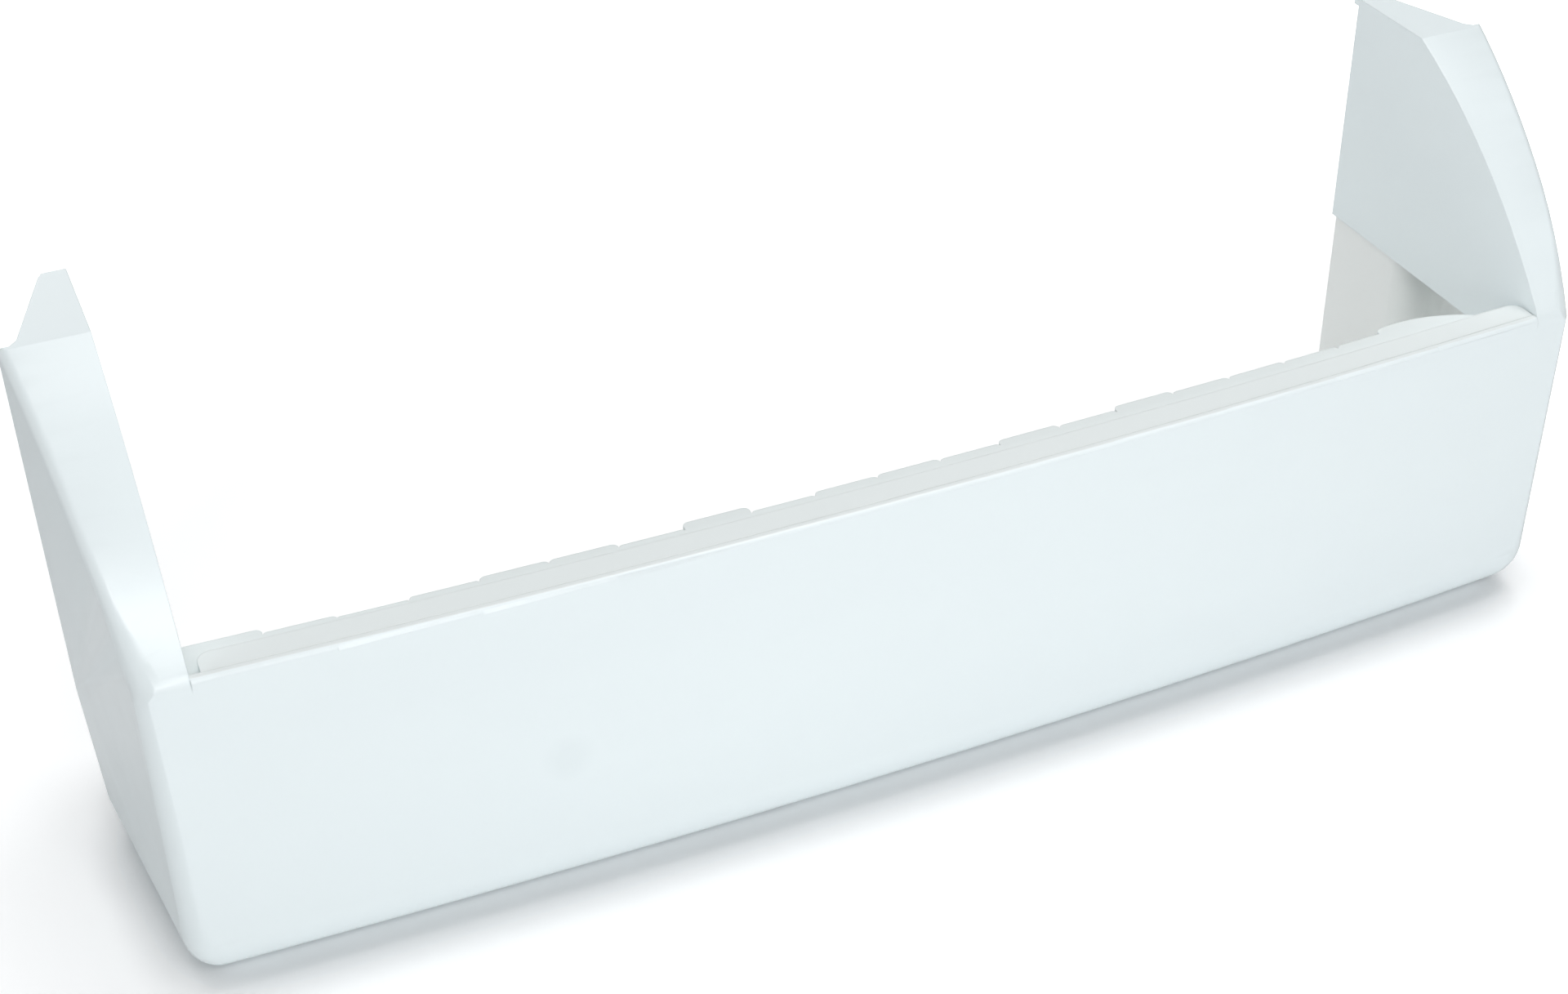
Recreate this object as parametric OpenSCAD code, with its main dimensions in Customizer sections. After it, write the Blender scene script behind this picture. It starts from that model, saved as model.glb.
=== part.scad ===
// Refrigerator door shelf: a bowed front panel between two tall hollow arms,
// with a fluted tray set inside it. It stands on the flat lip under its edge.
// X runs along the shelf, Y from the front to the back, Z up.

/* [Overall size] */
// width across the back edges of the two side flanges
overall_w = 473.5; // [400:1:560]
// depth from the middle of the bowed front to the back of the arms
overall_d = 118; // [106:1:140]
// height of the front panel
panel_h = 111; // [90:1:135]
// how far the arms rise above the front panel
arm_rise = 63.5; // [50:0.5:76]

/* [Front panel] */
// how far the middle of the front bulges past its ends
bow = 6; // [3:0.5:10]
// wall thickness of the outer frame
skin = 2.8; // [2:0.1:3.2]
// radius where the front and the sides turn under
bottom_round = 18; // [16:0.5:20]
// radius of the two upright front corners
corner_round = 8.5; // [7:0.5:9]
// radius along the top edge of the panel
top_round = 1.6; // [1:0.1:3]
// width of the flat lip that the tray stands on
lip_w = 20; // [16:1:30]

/* [Arms] */
// width of one arm at the front corner
arm_w = 14.2; // [12:0.2:17]
// angle at which the sides open towards the back
flare = 7.7; // [4:0.1:9]
// distance from the front corner to the back edge of the side flange
flange_reach = 76.5; // [70:0.5:80]
// distance from the front corner to the top of the curved rim
rim_run = 75; // [70:0.5:76]
// radius of the curved rim, seen from the side
rim_r = 204.2; // [160:1:260]
// radius along the outer edge of the rim
rim_round = 3.3; // [2.5:0.1:4]
// radius of the soft bend between the panel and the rim
bend_round = 12; // [6:1:16]
// thickness of the rim and of the level top of an arm
cap_skin = 2.5; // [2:0.1:3]
// thickness of the inner wall of an arm
inner_skin = 2.3; // [2.1:0.1:3]
// how far the inner wall of an arm reaches down below the panel top
inner_drop = 17; // [12:1:24]
// width of an arm at its back end
arm_back_w = 8.1; // [7.5:0.1:9]
// angle at which the back part of an arm narrows
back_slant = 19.3; // [16:0.1:22]
// bevel on the back edges of the flanges and the arms
back_bevel = 2.2; // [1:0.1:2.4]

/* [Tray] */
// wall thickness of the tray
wall = 2.2; // [1.6:0.1:2.4]
// gap between the tray and the frame's side walls and arms
fit_gap = 0.3; // [0.2:0.05:0.5]
// set-back of the lower side walls behind the arms' inner walls
wall_step = 1.5; // [1.2:0.1:1.8]
// overlap of the tray's side walls behind the arms' inner walls
lap = 8; // [5:0.5:12]
// width of the flat rail behind the panel top, from the panel's front
rail_back = 11; // [9:0.5:14]
// open notch between the rail's left-hand end and the arm
rail_notch = 3.2; // [2:0.1:8]
// radius of the rail's two back corners
rail_round = 4; // [2:0.5:5]
// how far the fluted edge lies below the rail
flute_drop = 4; // [3:0.5:6]
// distance from the panel's front to the foot of the flutes
flute_base = 16.3; // [15.8:0.1:17]
// distance from one flute to the next
flute_pitch = 20; // [16:1:26]
// how far each flute stands out, from left to right; the last value holds for the rest
flute_depths = [4.1, 2.2, 1.4, 2.4, 3.6, 3.6, 2.3, 5.1, 2.5, 3.8, 4.2, 3.7, 5.1, 4.3, 6.1, 5.2, 5, 4.7];
// how far the leftmost flute runs on past its pitch, behind the arm
flute_run_on = 6; // [5:0.5:8]
// radius of a flute's shoulders
flute_round = 2; // [1:0.1:2.4]
// how far the last flute, the deep one at the right-hand end, stands out
deep_flute = 7.5; // [6:0.5:11]
// distance from the deep flute's blunt end to its deepest point
deep_head = 8; // [7:0.5:12]
// distance from its deepest point to where it has run out
deep_tail = 26; // [20:1:30]
// distance from the front corner to the jog in the side walls
jog_y = 68; // [60:1:70]
// radius of the upright edge of the jog
jog_round = 8; // [5:0.5:10]
// height of the low back wall
back_h = 28; // [15:1:34]
// distance from the back of the tray to the back of the arms
back_gap = 3; // [2:0.5:6]
// how much larger the tray's foot radius is than the frame's inner one
foot_ease = 0.6; // [0.4:0.1:1]
// gap between the foot of the front wall and the curve inside the panel's foot
foot_gap = 0.3; // [0.1:0.1:1]

/* [Hanging slots] */
// width of the slot in the back part of each arm
slot_w = 10; // [8:0.5:12]
// height of the top of the slot above the base
slot_top = 130; // [100:1:150]
// distance from the front corner to the middle of the slot
slot_y = 95; // [90:0.5:97]

/* [Quality] */
// number of segments on the small curves
fine = 64; // [32:8:128]

/* [Hidden] */
eps = 0.01;
// how far two tangent arcs are pushed across each other, so that they cross
bite = 0.03;
far = 600;
broad = 720;
white = [0.93, 0.95, 0.95];
milky = [0.87, 0.9, 0.89];
// the front corner's line, counted from the middle of the whole depth
front_y = -overall_d / 2 + bow;
top_z = panel_h + arm_rise;
// half width at the front corners
half_w = overall_w / 2 - flange_reach * tan(flare);
half_in = half_w - arm_w;
// radius and centre of the bowed front
bow_r = half_w * half_w / (2 * bow) + bow / 2;
bow_y = -bow + bow_r;
// centre of the rim's circle, from the front corner at the panel's top
chord = norm([rim_run, arm_rise]);
sink = sqrt(rim_r * rim_r - chord * chord / 4);
rim_y = rim_run / 2 + sink * arm_rise / chord;
rim_z = panel_h + arm_rise / 2 - sink * rim_run / chord;
rear_y = overall_d - bow;
inner_z = panel_h - inner_drop;
plate_z = panel_h - flute_drop;
// top of the tray's lower walls, just under the arms' inner walls
low_z = inner_z - fit_gap;
tray_in = half_in + wall_step;
// step under the front wall that clears the curve inside the panel's foot
foot_in = bottom_round - skin;
foot_step = foot_in - sqrt(foot_in * foot_in - pow(max(0, bottom_round - flute_base + wall), 2)) + foot_gap;
pitch_a = flute_pitch / (bow_r - flute_base) * 180 / PI;
flutes = floor((half_in - 2 * flute_pitch) / flute_pitch);

// x of the flared side at a distance y from the front corner
function side_x(y) = half_w + y * tan(flare);

// the point that lies u behind the bowed front and v inside the flared side
function corner_at(u, v, y = 10) = let(
        x = side_x(y) - v / cos(flare),
        y1 = bow_y - sqrt((bow_r - u) * (bow_r - u) - x * x))
    abs(y1 - y) < 0.001 ? [x, y1] : corner_at(u, v, y1);

// edge radius that shrinks from the upright corner's to the rim's own, t running from 0 to 1
function edge_r(t) = rim_round + (corner_round - rim_round) * pow(1 - min(t * 3, 1), 2);

module both() {
    children();
    mirror([1, 0, 0]) children();
}

// upright wall profile with a round foot of radius r; x = 0 is the shelf's outer face
module foot_profile(inset, base, r) {
    translate([-far, base + r]) square([far - inset, far]);
    translate([-far, base]) square([far - inset - r, far]);
    translate([-inset - r, base + r]) circle(r, $fn = fine);
}

// everything behind the bowed front
module front_form(inset) {
    translate([0, bow_y, 0]) rotate_extrude($fn = broad)
        intersection() {
            translate([bow_r, 0]) foot_profile(inset, inset, bottom_round - inset);
            translate([bow_r - far / 2, -1]) square([far, far]);
        }
}

// everything inside the right-hand side
module side_form(inset, base, r) {
    translate([half_w, 0, 0]) rotate([0, 0, -flare]) rotate([90, 0, 0])
        translate([0, 0, -far]) linear_extrude(2 * far) foot_profile(inset, base, r);
}

// everything under the curved rims and the level tops
module rim_form(inset) {
    front = bow_y - sqrt(bow_r * bow_r - half_in * half_in);
    by = front + bend_round;
    bz = rim_z + sqrt(pow(rim_r - bend_round, 2) - pow(rim_y - by, 2));
    reach = rim_r / (rim_r - bend_round);
    touch = [rim_y + (by - rim_y) * reach, rim_z + (bz - rim_z) * reach];
    rotate([90, 0, 90]) translate([0, 0, -far]) linear_extrude(2 * far)
        difference() {
            intersection() {
                translate([rim_y, rim_z]) circle(rim_r - inset, $fn = broad);
                translate([-far, -far]) square([2 * far, far + top_z - inset]);
            }
            if (inset == 0)
                difference() {
                    polygon([[by, bz], touch, touch + [-9, 7], [front - 9, bz]]);
                    translate([by, bz]) circle(bend_round, $fn = broad / 4);
                }
        }
}

// outline at the back: the flange ends, then the side runs inward
module rear_plan(inset) {
    x1 = half_in + arm_back_w;
    step = inset / cos(back_slant);
    ys = flange_reach - inset;
    xs = x1 - step + (rear_y - flange_reach - 2 * back_bevel) * tan(back_slant);
    xe = x1 - step;
    ease = inset * 0.4;
    half = [
        [far, -far], [far, ys],
        [xs + back_bevel - ease, ys],
        [xs, ys + back_bevel + ease],
        [xe, rear_y - back_bevel],
        [xe - (inset == 0 ? back_bevel * 0.6 : 0), inset == 0 ? rear_y : far]
    ];
    last = len(half) - 1;
    polygon(concat(half, [for (i = [last : -1 : 0]) [-half[i][0], half[i][1]]]));
}

// soft outer edges: round balls run down the rim, the corner and the foot
module soft_edges() {
    s = 1.012;
    a0 = asin((panel_h - rim_z) / rim_r);
    a1 = asin((top_z - rim_z) / rim_r) + 8;
    hull() {
        both() {
            for (t = [0 : 1 / 16 : 1]) {
                r = edge_r(t);
                a = a0 + (a1 - a0) * t;
                y = rim_y - (rim_r - r) * cos(a);
                translate([side_x(y) - r / cos(flare), y, rim_z + (rim_r - r) * sin(a)])
                    sphere(r * s + 0.02, $fn = 20);
            }
            for (a = [0 : 15 : 90]) {
                u = bottom_round - (bottom_round - corner_round) * cos(a);
                c = corner_at(u, u);
                translate([c[0], c[1], bottom_round - (bottom_round - corner_round) * sin(a)])
                    sphere(corner_round * s, $fn = 28);
            }
            translate([side_x(rear_y) - bottom_round, rear_y + 40, bottom_round])
                sphere(bottom_round + 1.5, $fn = 32);
            translate([side_x(rear_y + 40) - 20, rear_y + 20, top_z])
                cube([21, 20, 20]);
        }
        translate([0, -bow - 6.5 + bottom_round, bottom_round])
            sphere(bottom_round, $fn = 32);
        translate([-eps, -bow - 6.5, bottom_round])
            cube([2 * eps, 20, panel_h]);
    }
}

module outer_form() {
    intersection() {
        front_form(0);
        both_sides(0, 0, bottom_round);
        union() {
            rim_form(0);
            // between the arms the panel keeps its full height
            translate([-half_in, -far, 0]) cube([2 * half_in, 2 * far, panel_h]);
        }
        translate([0, 0, -1]) linear_extrude(far) rear_plan(0);
        soft_edges();
    }
}

// everything between the two sides
module both_sides(inset, base, r) {
    intersection() {
        side_form(inset, base, r);
        mirror([1, 0, 0]) side_form(inset, base, r);
    }
}

// the hollow inside the panel, the sides and the arms, open between the arms
module inner_form() {
    intersection() {
        front_form(skin);
        union() {
            intersection() {
                both_sides(skin, skin, bottom_round - skin);
                rim_form(cap_skin);
                translate([0, 0, -1]) linear_extrude(far) rear_plan(cap_skin);
                linear_extrude(far) difference() {
                    translate([-far, -far]) square(2 * far);
                    both() inner_corner();
                }
            }
            translate([-half_in, -far, inner_z]) cube([2 * half_in, 2 * far, far]);
        }
    }
}

// what rounds the inside of an upright front corner
module inner_corner() {
    r = corner_round - 1.5;
    c = corner_at(skin + r, skin + r);
    b = [0, bow_y];
    t = c + r * (c - b) / norm(c - b);
    s = c + r * [cos(flare), -sin(flare)];
    difference() {
        polygon([c, t, t + [3, -20], s + [20, -3], s]);
        translate(c) circle(r, $fn = fine);
    }
}

// the open space between the arms, over the rounded top of the panel
module middle_clear() {
    intersection() {
        translate([-half_in, -far, 0]) cube([2 * half_in, 2 * far, far]);
        translate([0, bow_y, 0]) rotate_extrude($fn = broad)
            difference() {
                translate([bow_r - far / 2, panel_h - top_round]) square([far, far]);
                translate([bow_r - top_round, panel_h - top_round])
                    circle(top_round, $fn = fine);
                translate([bow_r - far / 2 - 1, panel_h - top_round - 1])
                    square([far / 2 + 1 - top_round, top_round + 1]);
            }
    }
}

module frame() color(white) translate([0, front_y, 0]) {
    difference() {
        outer_form();
        middle_clear();
        difference() {
            inner_form();
            both() inner_wall();
        }
        // the tray's floor shows through the middle of the base
        translate([-half_w + bottom_round + lip_w, bottom_round + lip_w - bow, -1])
            cube([2 * (half_w - bottom_round - lip_w), far, skin + 2]);
        both() hanging_slot();
    }
}

// inner wall of an arm, thinned where the tray laps behind it
module inner_wall() {
    difference() {
        translate([half_in, -far / 2, inner_z])
            cube([inner_skin, far / 2 + rear_y - 2.5, far]);
        translate([tray_in - 0.1, -far / 2, inner_z - 1])
            cube([inner_skin, far, lap + fit_gap + 1]);
    }
}

// an upright slot that a lug on the door slides up into
module hanging_slot() {
    translate([half_in + 5.4, slot_y, 0]) rotate([90, 0, 90])
        linear_extrude(60) {
            translate([-slot_w / 2, -1]) square([slot_w, slot_top - slot_w / 2 + 1]);
            translate([0, slot_top - slot_w / 2]) circle(slot_w / 2, $fn = fine);
        }
}

// a band that follows the bowed front, between two depths behind it
module band(d1, d2) {
    difference() {
        translate([0, bow_y]) circle(bow_r - d1, $fn = broad);
        translate([0, bow_y]) circle(bow_r - d2, $fn = broad);
    }
}

// the right half of the tray's hollow in plan, grown outward by o
module tray_plan(o) {
    b = [0, bow_y];
    inset = skin + fit_gap + wall - o;
    // radius of the jog's outer corner and of the front corner, and each one's reach to its walls
    rj = 5 + o;
    rf = 10 + o;
    tj = rj - bite;
    tf = rf - bite;
    jc = [side_x(jog_y + o - tj) - (inset + tj) / cos(flare), jog_y + o - tj];
    fc = corner_at(flute_base - o + tf, inset + tf);
    nf = (fc - b) / norm(fc - b);
    ns = [cos(flare), -sin(flare)];
    intersection() {
        translate(b) circle(bow_r - flute_base + o, $fn = broad);
        union() {
            polygon([[-20, jog_y + o], jc + [0, tj], jc + tj * ns,
                fc + tf * ns, fc + (tf + bite / 2) * nf, [-20, -60]]);
            translate(jc) circle(rj, $fn = fine);
            translate(fc) circle(rf, $fn = fine);
            translate([-20, 0]) square([tray_in + o + 20, rear_y - back_gap + (o > 0 ? 0 : 9)]);
            difference() {
                translate([0, jog_y - 2]) square([tray_in + jog_round, jog_round + 2]);
                translate([tray_in + jog_round, jog_y + jog_round])
                    circle(jog_round - o + bite, $fn = fine);
            }
        }
    }
}

// one flute in plan, standing out by depth from the line y = 0, with round shoulders
module flute(w, depth, shoulder) {
    r = min(shoulder, (depth + 0.9) / 2);
    translate([-w / 2 + bite, -1]) square([w - 2 * bite, depth + 1 - r]);
    translate([-w / 2 + r, -1]) square([w - 2 * r, depth + 1 - bite]);
    for (s = [-1, 1])
        translate([s * (w / 2 - r), depth - r]) circle(r, $fn = fine);
}

// the deep flute in plan: blunt at its left-hand end, then it falls away along an arc; x = 0 is its deepest point
module deep_flute_plan(o) {
    r = flute_round + 0.5;
    arc = (deep_tail * deep_tail + deep_flute * deep_flute) / (2 * deep_flute);
    y0 = deep_flute - arc;
    xr = o + r - deep_head;
    yr = y0 + sqrt((arc - r) * (arc - r) - xr * xr);
    translate([xr - r + bite, -1]) square([r, yr + 1]);
    translate([xr, yr]) circle(r, $fn = fine);
    intersection() {
        translate([0, y0]) circle(arc - bite, $fn = broad);
        translate([xr, -1]) square([far, far]);
    }
}

// the row of flutes along the bowed front wall; o moves their faces forward
module flutes_plan(o) {
    start = flutes + 2;
    for (i = [-start : flutes]) {
        more = i == -start ? flute_run_on : 0;
        translate([0, bow_y]) rotate(i * pitch_a) translate([-more / 2, flute_base - bow_r - o])
            flute(flute_pitch + 0.2 + more - 2 * o, flute_depths[min(i + start, len(flute_depths) - 1)], flute_round);
    }
    translate([0, bow_y]) rotate((flutes + 1) * pitch_a)
        translate([1.5 + deep_head - 15, flute_base - bow_r - o]) deep_flute_plan(o);
}

// the room between the inner walls of the two arms
module between_arms() {
    w = half_in - fit_gap;
    translate([-w, -60]) square([2 * w, far]);
}

// the tray's outside, for o = wall, or its hollow, for o = 0, with a round foot at the sides
module tray_block(o) {
    base = skin + wall - o;
    intersection() {
        translate([0, 0, base - 1]) linear_extrude(low_z - base + (o > 0 ? 1 : 2))
            difference() {
                both() tray_plan(o);
                flutes_plan(o);
            }
        both_sides(skin + fit_gap / 2 + wall - o, base, bottom_round - skin + foot_ease - wall + o);
    }
}

// the front wall alone, where it rises between the arms
module front_plan() {
    difference() {
        intersection() {
            union() {
                band(flute_base - wall, flute_base);
                flutes_plan(0);
            }
            between_arms();
        }
        flutes_plan(wall);
    }
}

module tray() color(milky) translate([0, front_y, 0]) {
    difference() {
        tray_block(wall);
        tray_block(0);
        // the front wall's foot clears the curve inside the panel's foot
        translate([0, 0, skin - 1]) linear_extrude(1 + foot_step) band(0, bottom_round + fit_gap);
    }
    translate([-tray_in - wall / 2, rear_y - back_gap - wall, skin + wall / 2])
        cube([2 * tray_in + wall, wall, back_h]);
    translate([0, 0, low_z]) linear_extrude(plate_z - wall - low_z) front_plan();
    both() translate([tray_in, jog_y + jog_round, low_z])
        cube([wall, rear_y - back_gap - jog_y - jog_round, lap]);
    top_plate();
    rail();
}

// fluted plate that closes the gap between the panel and the front wall
module top_plate() {
    translate([0, 0, plate_z - wall]) linear_extrude(wall)
        difference() {
            intersection() {
                union() {
                    band(skin, flute_base);
                    flutes_plan(0);
                }
                between_arms();
            }
            translate([rail_notch - 0.6 - half_in - 10, -60]) square([10, 64.5]);
        }
}

// flat rail level with the panel top, closed against the right-hand arm
module rail() {
    r = rail_round;
    xl = rail_notch - half_in;
    xr = half_in - fit_gap;
    // y of the rail's back edge where each corner's curve starts
    yl = bow_y - sqrt(pow(bow_r - rail_back, 2) - pow(xl + r, 2)) + bite;
    yr = bow_y - sqrt(pow(bow_r - rail_back, 2) - pow(xr - r, 2)) + bite;
    translate([0, 0, plate_z]) linear_extrude(flute_drop)
        intersection() {
            band(skin, rail_back);
            union() {
                translate([xl + r, -60]) square([xr - xl - 2 * r, far]);
                translate([xl, -60]) square([2 * r, 60 + yl - r]);
                translate([xr - 2 * r, -60]) square([2 * r, 60 + yr - r]);
                translate([xl + r, yl - r]) circle(r, $fn = fine);
                translate([xr - r, yr - r]) circle(r, $fn = fine);
            }
        }
}

frame();
tray();
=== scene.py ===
"""Looks for a white moulded refrigerator door shelf: materials, floor, light and camera."""

import math

import bmesh
import bpy
from mathutils import Matrix, Vector


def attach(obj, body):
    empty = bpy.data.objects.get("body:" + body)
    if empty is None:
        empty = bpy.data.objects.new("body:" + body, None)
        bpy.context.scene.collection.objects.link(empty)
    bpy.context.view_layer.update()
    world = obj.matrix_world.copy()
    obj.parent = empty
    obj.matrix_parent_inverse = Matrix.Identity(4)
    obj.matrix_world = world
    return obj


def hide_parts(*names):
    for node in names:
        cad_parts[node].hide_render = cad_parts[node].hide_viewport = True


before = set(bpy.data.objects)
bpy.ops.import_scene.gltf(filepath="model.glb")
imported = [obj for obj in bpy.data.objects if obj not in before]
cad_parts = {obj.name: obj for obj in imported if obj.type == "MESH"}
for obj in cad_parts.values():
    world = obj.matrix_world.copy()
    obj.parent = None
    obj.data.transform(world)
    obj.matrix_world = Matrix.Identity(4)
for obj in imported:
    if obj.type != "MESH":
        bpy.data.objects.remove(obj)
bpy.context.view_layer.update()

# sizes of the shelf that the looks need, in metres
WIDTH = 0.4735
DEPTH = 0.118
PANEL_TOP = 0.111
TOP = 0.1745
BOW = 0.006
FLARE = math.radians(7.7)
FLANGE_REACH = 0.0765
FOOT_ROUND = 0.018
CORNER_ROUND = 0.0085
RIM_ROUND = 0.0033
RIM_RUN = 0.075
RIM_RADIUS = 0.2042
BEND_ROUND = 0.012
ARM_WIDTH = 0.0142
RAIL_Z = 0.107
PICTURE = (1920, 1217)


class Sock:
    """A shader socket that can be used in plain arithmetic."""

    def __init__(self, nodes, socket):
        self.nodes = nodes
        self.socket = socket

    def _math(self, operation, *values):
        return self.nodes.add("ShaderNodeMath", {"operation": operation}, list(values))

    def __add__(self, other):
        return self._math("ADD", self, other)

    def __radd__(self, other):
        return self._math("ADD", other, self)

    def __sub__(self, other):
        return self._math("SUBTRACT", self, other)

    def __rsub__(self, other):
        return self._math("SUBTRACT", other, self)

    def __mul__(self, other):
        return self._math("MULTIPLY", self, other)

    def __rmul__(self, other):
        return self._math("MULTIPLY", other, self)

    def __truediv__(self, other):
        return self._math("DIVIDE", self, other)

    def __rtruediv__(self, other):
        return self._math("DIVIDE", other, self)

    def __pow__(self, other):
        return self._math("POWER", self, other)

    def __neg__(self):
        return self._math("MULTIPLY", self, -1.0)

    def absolute(self):
        return self._math("ABSOLUTE", self)

    def clamped(self):
        return self.nodes.add("ShaderNodeClamp", {}, [self, 0.0, 1.0])


class Nodes:
    """Adds nodes to one material's or world's tree."""

    def __init__(self, owner):
        owner.use_nodes = True
        self.tree = owner.node_tree
        self.tree.nodes.clear()

    def add(self, kind, settings, inputs, output=0):
        node = self.tree.nodes.new(kind)
        for name, value in settings.items():
            if name == "stops":
                self._stops(node, value)
            else:
                setattr(node, name, value)
        pairs = inputs.items() if isinstance(inputs, dict) else enumerate(inputs)
        for key, value in pairs:
            if isinstance(value, Sock):
                self.tree.links.new(value.socket, node.inputs[key])
            elif value is not None:
                node.inputs[key].default_value = value
        self.last = node
        return Sock(self, node.outputs[output]) if node.outputs else None

    def _stops(self, node, stops):
        ramp = node.color_ramp
        while len(ramp.elements) > 1:
            ramp.elements.remove(ramp.elements[-1])
        ramp.elements[0].position = stops[0][0]
        ramp.elements[0].color = stops[0][1]
        for place, colour in stops[1:]:
            ramp.elements.new(place).color = colour

    def blend(self, amount, first, second):
        """Mixes two colours."""
        node = self.tree.nodes.new("ShaderNodeMix")
        node.data_type = "RGBA"
        for name, value in (("Factor_Float", amount), ("A_Color", first), ("B_Color", second)):
            socket = next(s for s in node.inputs if s.identifier == name)
            if isinstance(value, Sock):
                self.tree.links.new(value.socket, socket)
            else:
                socket.default_value = value
        out = next(s for s in node.outputs if s.identifier == "Result_Color")
        return Sock(self, out)


def srgb(r, g, b):
    """A colour given as it shows on screen, 0 to 255, in linear values."""
    def lin(v):
        v = v / 255
        return v / 12.92 if v <= 0.04045 else ((v + 0.055) / 1.055) ** 2.4
    return (lin(r), lin(g), lin(b), 1.0)


def moulded_white(name, light, shade, gloss, edge, spot=None, painted_bounce_light=None, level=None):
    """Smooth white moulded plastic: faint flow clouds, a fine orange-peel skin and light handling marks.

    edge is the small radius that every edge of the moulding has."""
    material = bpy.data.materials.new(name)
    n = Nodes(material)
    place = n.add("ShaderNodeTexCoord", {}, [], "Object")
    flow = n.add("ShaderNodeMapping", {"vector_type": "POINT"}, {"Vector": place, "Scale": (2.5, 6.0, 9.0)})
    clouds = n.add("ShaderNodeTexNoise", {"noise_dimensions": "3D"},
                   {"Vector": flow, "Scale": 2.2, "Detail": 3.0, "Roughness": 0.5}, "Fac")
    peel = n.add("ShaderNodeTexNoise", {}, {"Vector": place, "Scale": 900.0, "Detail": 2.0}, "Fac")
    marks = n.add("ShaderNodeTexNoise", {}, {"Vector": place, "Scale": 60.0, "Detail": 5.0}, "Fac")
    amount = ((clouds - 0.35) * 2.2).clamped() * 0.6
    colour = n.blend(amount, light, shade)
    if painted_bounce_light:
        # painted bounce light: the tray's walls below the rail are painted whiter than the rail, in place of the
        # light that bounces about inside the tray
        painted_bounce_height, tint = painted_bounce_light
        n.add("ShaderNodeSeparateXYZ", {}, [place], "Z")
        height = Sock(n, n.last.outputs["Z"])
        colour = n.blend(((painted_bounce_height - height) * 400.0).clamped(), colour, tint)
    if level:
        # the panel's level top is as dull as the rail that it runs into
        height, half, tint = level
        x = n.add("ShaderNodeSeparateXYZ", {}, [place], "X")
        z = Sock(n, n.last.outputs["Z"])
        on_top = ((LEVEL_BAND - (z - height).absolute()) / LEVEL_BAND * 2.0).clamped()
        between = ((half - x.absolute()) / LEVEL_BAND).clamped()
        colour = n.blend(on_top * between, colour, tint)
    if spot:
        # a faint darker round patch on the front panel
        centre, radius, tint = spot
        away = n.add("ShaderNodeVectorMath", {"operation": "DISTANCE"}, [place, centre], "Value")
        mask = (1.0 - away / radius).clamped()
        colour = n.blend((mask * 1.6).clamped() * 0.3, colour, tint)
    rough = gloss + (marks - 0.5) * 0.06 + (clouds - 0.5) * 0.04
    grain = peel * 0.7 + marks * 0.3
    rounded = n.add("ShaderNodeBevel", {"samples": 6}, {"Radius": edge}, "Normal")
    bump = n.add("ShaderNodeBump", {}, {"Strength": 0.05, "Distance": 0.0002, "Height": grain, "Normal": rounded}, "Normal")
    shader = n.add("ShaderNodeBsdfPrincipled", {}, {
        "Base Color": colour, "Roughness": rough.clamped(), "Normal": bump,
        "IOR": 1.46, "Subsurface Weight": 0.0, "Coat Weight": 0.0}, "BSDF")
    n.add("ShaderNodeOutputMaterial", {}, {"Surface": shader})
    return material


def pale_floor():
    """White sweep that keeps the shadow; it shows white to the camera where nothing shades it."""
    material = bpy.data.materials.new("pale_floor")
    n = Nodes(material)
    place = n.add("ShaderNodeTexCoord", {}, [], "Object")
    far = n.add("ShaderNodeVectorMath", {"operation": "LENGTH"}, [place], "Value")
    n.add("ShaderNodeAmbientOcclusion", {"samples": 16}, {"Distance": CONTACT_REACH}, "AO")
    openness = Sock(n, n.last.outputs["AO"])
    open_floor = ((openness - CONTACT_DARK) / (CONTACT_CLEAR - CONTACT_DARK)).clamped()
    glow_level = FLOOR_GLOW + ((far - 0.25) * 2.0).clamped() * (1.0 - FLOOR_GLOW)
    seen = n.add("ShaderNodeLightPath", {}, [], "Is Camera Ray")
    bounced = Sock(n, n.last.outputs["Is Diffuse Ray"])
    strength = seen * open_floor * glow_level + bounced * FLOOR_BOUNCE
    matt = n.add("ShaderNodeBsdfDiffuse", {}, {"Color": (0.82, 0.83, 0.84, 1.0)}, "BSDF")
    glow = n.add("ShaderNodeEmission", {}, {"Color": (1, 1, 1, 1), "Strength": strength}, "Emission")
    both = n.add("ShaderNodeAddShader", {}, [matt, glow], "Shader")
    n.add("ShaderNodeOutputMaterial", {}, {"Surface": both})
    return material


# half height of the band in which the panel's level top takes the rail's tint
LEVEL_BAND = 0.0001
# how far the contact shadow under the shelf's round foot reaches, and the openness at which it is full and gone
CONTACT_REACH = 0.025
CONTACT_DARK = 0.42
CONTACT_CLEAR = 0.84
# share of white that the floor shows the camera near the shelf, and the light that it throws back at the shelf
FLOOR_GLOW = 0.36
FLOOR_BOUNCE = 0.19


def build_floor():
    mesh = bpy.data.meshes.new("floor")
    s = 4.0
    mesh.from_pydata([(-s, -s, 0), (s, -s, 0), (s, s, 0), (-s, s, 0)], [], [(0, 1, 2, 3)])
    floor = bpy.data.objects.new("floor", mesh)
    bpy.context.scene.collection.objects.link(floor)
    mesh.materials.append(pale_floor())


def softbox(name, place, target, size, power):
    lamp = bpy.data.lights.new(name, "AREA")
    lamp.shape = "RECTANGLE"
    lamp.size, lamp.size_y = size
    lamp.energy = power
    holder = bpy.data.objects.new(name, lamp)
    holder.location = place
    away = Vector(place) - Vector(target)
    holder.rotation_euler = away.to_track_quat("Z", "Y").to_euler()
    holder.visible_camera = False
    bpy.context.scene.collection.objects.link(holder)


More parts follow.
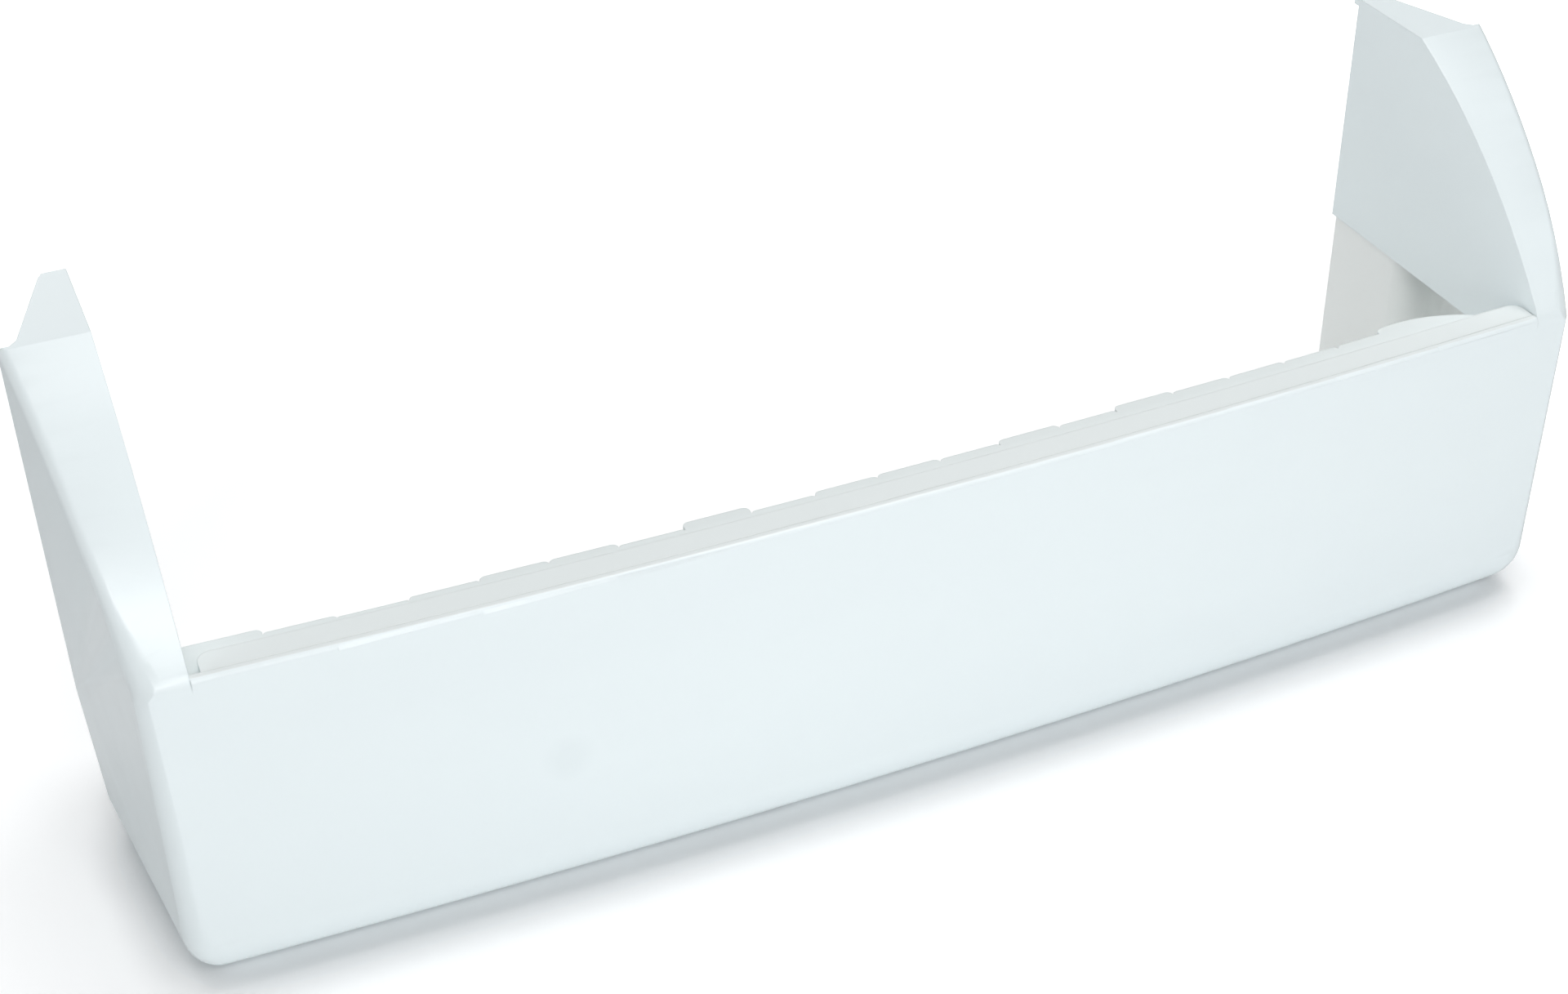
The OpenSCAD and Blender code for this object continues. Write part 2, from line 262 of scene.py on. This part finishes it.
def light_scene():
    """A dark room that glows low down at the back and to the left, with six soft lamps; the camera sees it white."""
    world = bpy.context.scene.world or bpy.data.worlds.new("studio")
    bpy.context.scene.world = world
    n = Nodes(world)
    way = n.add("ShaderNodeTexCoord", {}, [], "Generated")
    n.add("ShaderNodeSeparateXYZ", {}, [way], "X")
    split = n.last
    x, y, z = (Sock(n, split.outputs[k]) for k in ("X", "Y", "Z"))
    low = (1.0 - z * 2.0).clamped()
    room = low * (0.3 + y * 0.8 - x * 0.5).clamped() * ROOM_GLOW
    seen = n.add("ShaderNodeLightPath", {}, [], "Is Camera Ray")
    strength = room * (1.0 - seen) + seen
    glow = n.add("ShaderNodeBackground", {}, {"Color": (1, 1, 1, 1), "Strength": strength}, "Background")
    n.add("ShaderNodeOutputWorld", {}, {"Surface": glow})
    for name, place, target, size, power in LAMPS:
        softbox(name, place, target, size, power)


ROOM_GLOW = 1.9
# name, place, the point it looks at, width and height, watts
LAMPS = [
    ("top", (0.0, 0.25, 1.7), (0, 0, 0.05), (1.4, 0.9), 10.3),
    ("top_right", (0.6, 0.2, 1.6), (0, 0, 0.05), (1.0, 0.9), 7.6),
    ("front_low", (-0.08, -1.15, 0.33), (-0.03, 0, 0.07), (0.6, 0.4), 3.95),
    ("front_right", (0.45, -0.95, 1.15), (0, 0, 0.08), (0.9, 0.25), 2.4),
    ("front_left", (-0.25, -0.9, 1.0), (-0.05, 0, 0.08), (0.7, 0.25), 3.5),
    ("behind", (-0.45, 2.0, 0.9), (0, 0, 0.05), (1.2, 0.8), 4.0),
]


def aim_camera():
    """The camera that the photograph's parallel edges give."""
    wide, high = PICTURE
    focal = 2993.86
    along = Vector((9550 - wide / 2, high / 2 + 1670, -focal)).normalized()
    down = Vector((1044 - wide / 2, high / 2 - 4859, -focal)).normalized()
    up = (-down - along * along.dot(-down)).normalized()
    back = up.cross(along)
    lens = bpy.data.cameras.new("photo_camera")
    lens.sensor_fit = "HORIZONTAL"
    lens.sensor_width = 36.0
    lens.lens = 36.0 * focal / wide
    lens.clip_start = 0.01
    lens.clip_end = 50.0
    camera = bpy.data.objects.new("photo_camera", lens)
    turn = Matrix((along, back, up)).to_4x4()
    spot = Matrix.Translation((-0.2616, -DEPTH / 2 - 0.5045, PANEL_TOP + 0.3984))
    camera.matrix_world = spot @ turn
    bpy.context.scene.collection.objects.link(camera)
    bpy.context.scene.camera = camera


class OuterForm:
    """The frame's outer faces as the mould has them, to give a point the direction that it faces."""

    def __init__(self):
        self.front = -DEPTH / 2 + BOW
        self.half = WIDTH / 2 - FLANGE_REACH * math.tan(FLARE)
        self.bow_r = self.half ** 2 / (2 * BOW) + BOW / 2
        self.bow_y = self.front - BOW + self.bow_r
        rise = TOP - PANEL_TOP
        chord = math.hypot(RIM_RUN, rise)
        sink = math.sqrt(RIM_RADIUS ** 2 - chord ** 2 / 4)
        self.rim_y = self.front + RIM_RUN / 2 + sink * rise / chord
        self.rim_z = PANEL_TOP + rise / 2 - sink * RIM_RUN / chord

    def distances(self, p):
        """For each outer face, how far p lies outside it, and the way that it faces there."""
        x, y, z = p
        right = 1.0 if x > 0 else -1.0
        out = Vector((x, y - self.bow_y, 0))
        front = out.length - self.bow_r
        side_way = Vector((right * math.cos(FLARE), -math.sin(FLARE), 0))
        side = (p - Vector((right * self.half, self.front, 0))).dot(side_way)
        up = Vector((0, y - self.rim_y, z - self.rim_z))
        rim = up.length - RIM_RADIUS
        return (front, out.normalized()), (side, side_way), (rim, up.normalized()), (-z, Vector((0, 0, -1))), \
            (z - TOP, Vector((0, 0, 1)))

    def facing(self, p):
        """The outward direction at p, and how far p is from the rounded outer surface."""
        front, side, rim, base, top = self.distances(p)
        high = min(max((p.z - PANEL_TOP) / (TOP - PANEL_TOP), 0.0), 1.0)
        upright = RIM_ROUND + (CORNER_ROUND - RIM_ROUND) * (1 - min(high * 3, 1)) ** 2
        wall = self.rounded([front, side], upright)
        if p.z < FOOT_ROUND:
            return self.rounded([wall, base], FOOT_ROUND)
        in_an_arm = abs(p.x) > self.half - ARM_WIDTH
        if in_an_arm and p.z > PANEL_TOP - BEND_ROUND and rim[0] > -RIM_ROUND * 4:
            crown = self.rounded([front, rim], BEND_ROUND)
            return self.rounded([crown, side], upright)
        return wall

    @staticmethod
    def rounded(faces, radius):
        reach = Vector((0, 0, 0))
        for away, way in faces:
            reach += max(away + radius, 0.0) * way
        if reach.length < 1e-9:
            return max(faces, key=lambda f: f[0])
        return reach.length - radius, reach.normalized()


def smooth_copy(node, name, material, form=None):
    """The CAD node's shape with its doubles merged and its curves shaded round, in the node's place."""
    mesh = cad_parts[node].data.copy()
    mesh.name = name
    for layer in [a.name for a in mesh.attributes if a.name == "custom_normal"]:
        mesh.attributes.remove(mesh.attributes[layer])
    bm = bmesh.new()
    bm.from_mesh(mesh)
    bmesh.ops.remove_doubles(bm, verts=bm.verts, dist=2e-6)
    round_the_bow(bm)
    bm.to_mesh(mesh)
    bm.free()
    mesh.shade_smooth()
    mesh.set_sharp_from_angle(angle=math.radians(24))
    piece = bpy.data.objects.new(name, mesh)
    bpy.context.scene.collection.objects.link(piece)
    weights = piece.modifiers.new("weights", "WEIGHTED_NORMAL")
    weights.mode = "FACE_AREA"
    weights.keep_sharp = True
    bpy.context.view_layer.update()
    done = bpy.data.meshes.new_from_object(piece.evaluated_get(bpy.context.evaluated_depsgraph_get()))
    piece.modifiers.clear()
    piece.data = done
    if form:
        follow_form(done, form)
    done.materials.clear()
    done.materials.append(material)
    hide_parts(node)
    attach(piece, "root")
    return piece


def round_the_bow(bm):
    """Cuts what runs along the bowed front into short lengths and lays the cuts on the bow's own curves."""
    depth = bm.verts.layers.float.new("depth")
    centre = Vector((0, FORM.bow_y, 0))

    def behind(v):
        return FORM.bow_r - math.hypot(v.co.x, v.co.y - centre.y)

    for v in bm.verts:
        v[depth] = behind(v)
    known = len(bm.verts)
    step = BOW_CUT
    count = int((FORM.half - ARM_WIDTH) / step)
    for k in range(-count, count + 1):
        bmesh.ops.bisect_plane(bm, geom=bm.verts[:] + bm.edges[:] + bm.faces[:], dist=1e-6,
                               plane_co=(k * step + step / 7, 0, 0), plane_no=(1, 0, 0))
    bm.verts.ensure_lookup_table()
    moved = 0
    for v in bm.verts[known:]:
        was = behind(v)
        if was < BOW_ZONE and abs(was - v[depth]) < BOW_SLACK:
            turn = Vector((v.co.x, v.co.y - centre.y, 0)).normalized()
            v.co += turn * (was - v[depth])
            moved += 1
    bm.verts.layers.float.remove(depth)
    print("points laid on the bow:", moved)


def follow_form(mesh, form):
    """Turns the corner normals of the outer faces to the mould's own curves."""
    near = 0.0006
    turn = math.cos(math.radians(22))
    facing = [form.facing(v.co) for v in mesh.vertices]
    normals = [Vector(c.vector) for c in mesh.corner_normals]
    changed = 0
    for face in mesh.polygons:
        for corner in face.loop_indices:
            away, way = facing[mesh.loops[corner].vertex_index]
            if abs(away) < near and way.dot(face.normal) > turn:
                normals[corner] = way
                changed += 1
    mesh.normals_split_custom_set([tuple(v) for v in normals])
    print("corners that follow the form:", changed, "of", len(mesh.loops))


FORM = OuterForm()
BOW_CUT = 0.009
BOW_ZONE = 0.03
BOW_SLACK = 0.0005

FRAME_LIGHT = srgb(238, 247, 249)
FRAME_SHADE = srgb(234, 243, 246)
TRAY_LIGHT = srgb(233, 239, 239)
TRAY_SHADE = srgb(229, 236, 236)
# painted bounce light: the whiter tone given to the tray's walls below the rail
TRAY_PAINTED_BOUNCE = srgb(246, 249, 248)

shell = moulded_white("shell_white", FRAME_LIGHT, FRAME_SHADE, 0.225, 0.0006,
                      spot=((-0.1146, -0.0575, 0.0524), 0.009, srgb(226, 236, 238)),
                      level=(PANEL_TOP, FORM.half - ARM_WIDTH, TRAY_LIGHT))
# the tray's walls below the rail get painted bounce light
inner = moulded_white("tray_white", TRAY_LIGHT, TRAY_SHADE, 0.4, 0.0006, painted_bounce_light=(RAIL_Z - 0.004, TRAY_PAINTED_BOUNCE))
smooth_copy("frame", "outer_frame", shell, FORM)
smooth_copy("tray", "inner_tray", inner)
build_floor()
light_scene()
aim_camera()
bpy.context.scene.view_settings.view_transform = "Standard"
